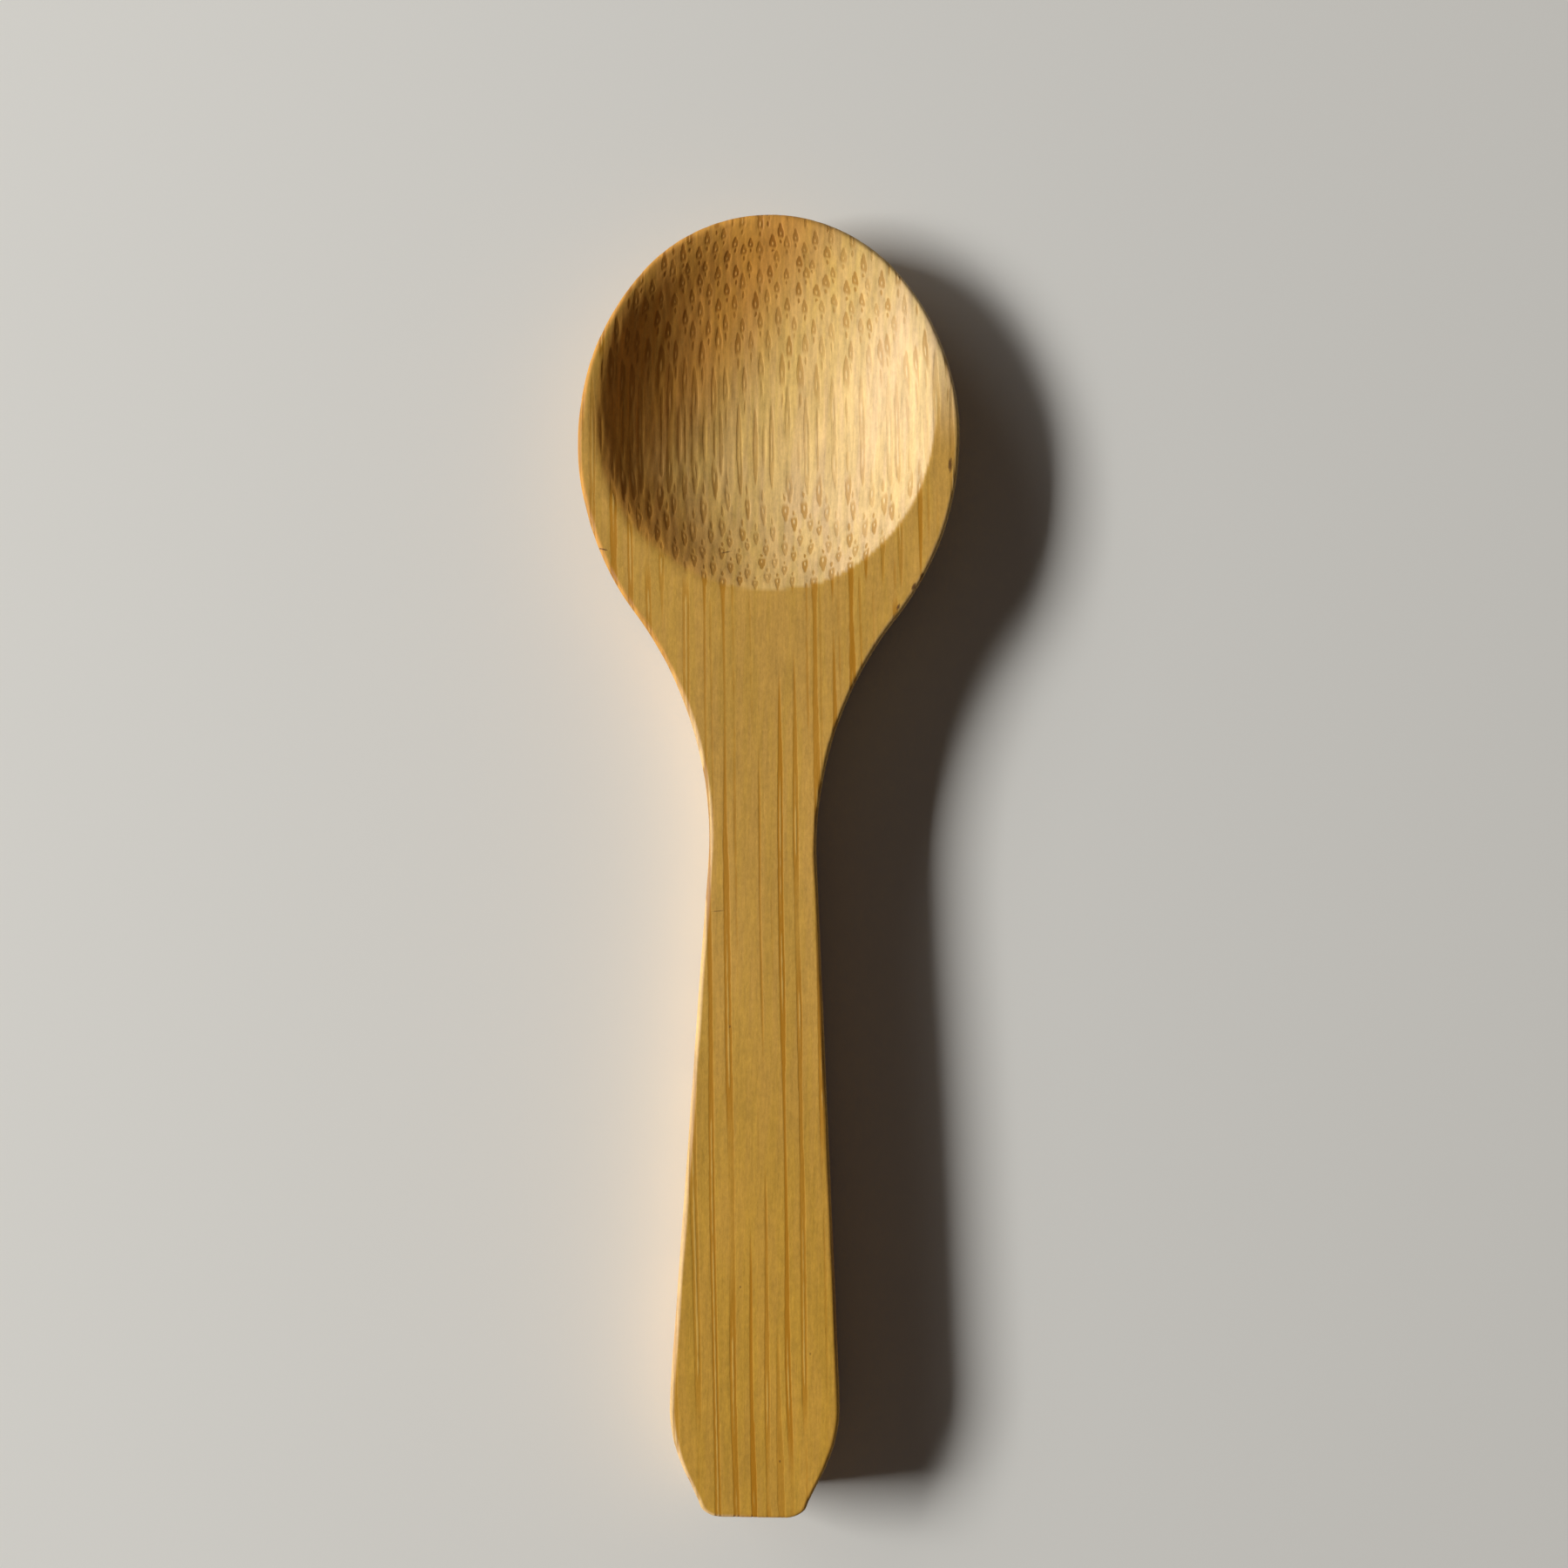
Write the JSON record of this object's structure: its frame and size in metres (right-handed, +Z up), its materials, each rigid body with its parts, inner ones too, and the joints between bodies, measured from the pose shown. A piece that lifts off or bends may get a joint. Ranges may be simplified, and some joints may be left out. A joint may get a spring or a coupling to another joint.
{
  "type": "bamboo spoon",
  "caption": "Small bamboo spoon carved in one piece: round dished bowl, waisted neck and a flat handle that widens to a blunt end.",
  "frame": {"origin": "on the table, under the middle of the spoon's length and width", "axes": "+Y along the spoon towards the bowl's tip, +Z up from the resting face, +X to the right across the spoon"},
  "size_m": [0.0264, 0.09, 0.0067],
  "materials": {
    "bamboo": "sanded bare bamboo, matt, with long brown fibre lines on the flat faces and small eyes in the hollow"
  },
  "bodies": {
    "root": {"bamboo_spoon": "bamboo"}
  },
  "joints": []
}
